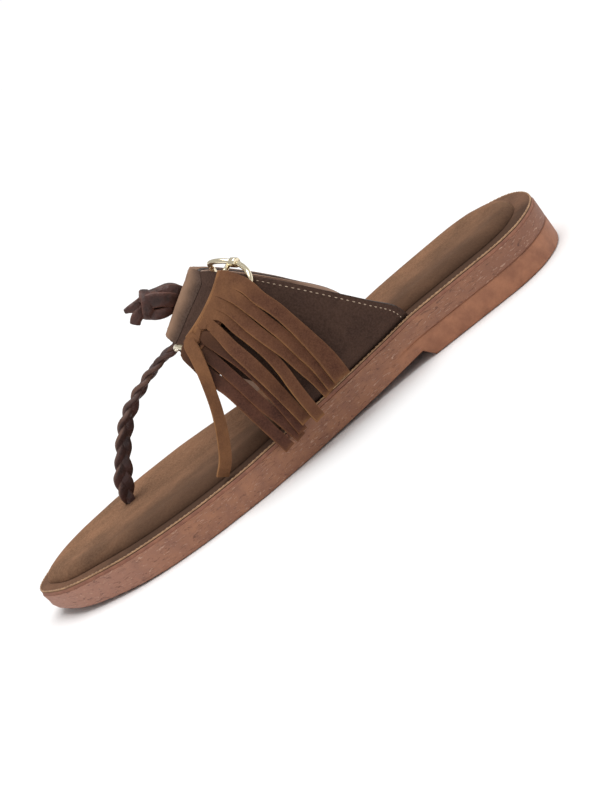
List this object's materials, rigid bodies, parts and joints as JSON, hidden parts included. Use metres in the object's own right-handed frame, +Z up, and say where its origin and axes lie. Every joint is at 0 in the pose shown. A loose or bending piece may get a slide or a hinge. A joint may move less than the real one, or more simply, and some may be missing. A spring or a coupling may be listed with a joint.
{
  "type": "suede thong sandal",
  "caption": "Flat suede toe-thong sandal for the left foot: moulded sole, padded footbed, wide instep band with a wire buckle and a fringe, and a braided thong knotted through the band.",
  "frame": {"origin": "middle of the shoe's box on the floor", "axes": "+Y from the toe to the heel, +Z up, +X to the outer side of the left foot"},
  "size_m": [0.0938, 0.256, 0.0826],
  "materials": {
    "sole_unit": "moulded, cork print on the side",
    "rim_suede": "suede, matt nap",
    "pad_suede": "suede, worn nap",
    "strap_suede": "suede outside, smooth lining inside",
    "fringe_suede": "suede, raw cut edges",
    "buckle_metal": "polished pale gold plating",
    "braid_leather": "waxed leather, cut edges"
  },
  "bodies": {
    "root": {"outsole": "sole_unit", "footbed_cover": "rim_suede", "insole_pad": "pad_suede", "upper": "strap_suede", "fringe": "fringe_suede", "buckle_frame": "buckle_metal", "buckle_bar": "buckle_metal", "braided_thong": "braid_leather", "thong_knot": "braid_leather"}
  },
  "joints": []
}
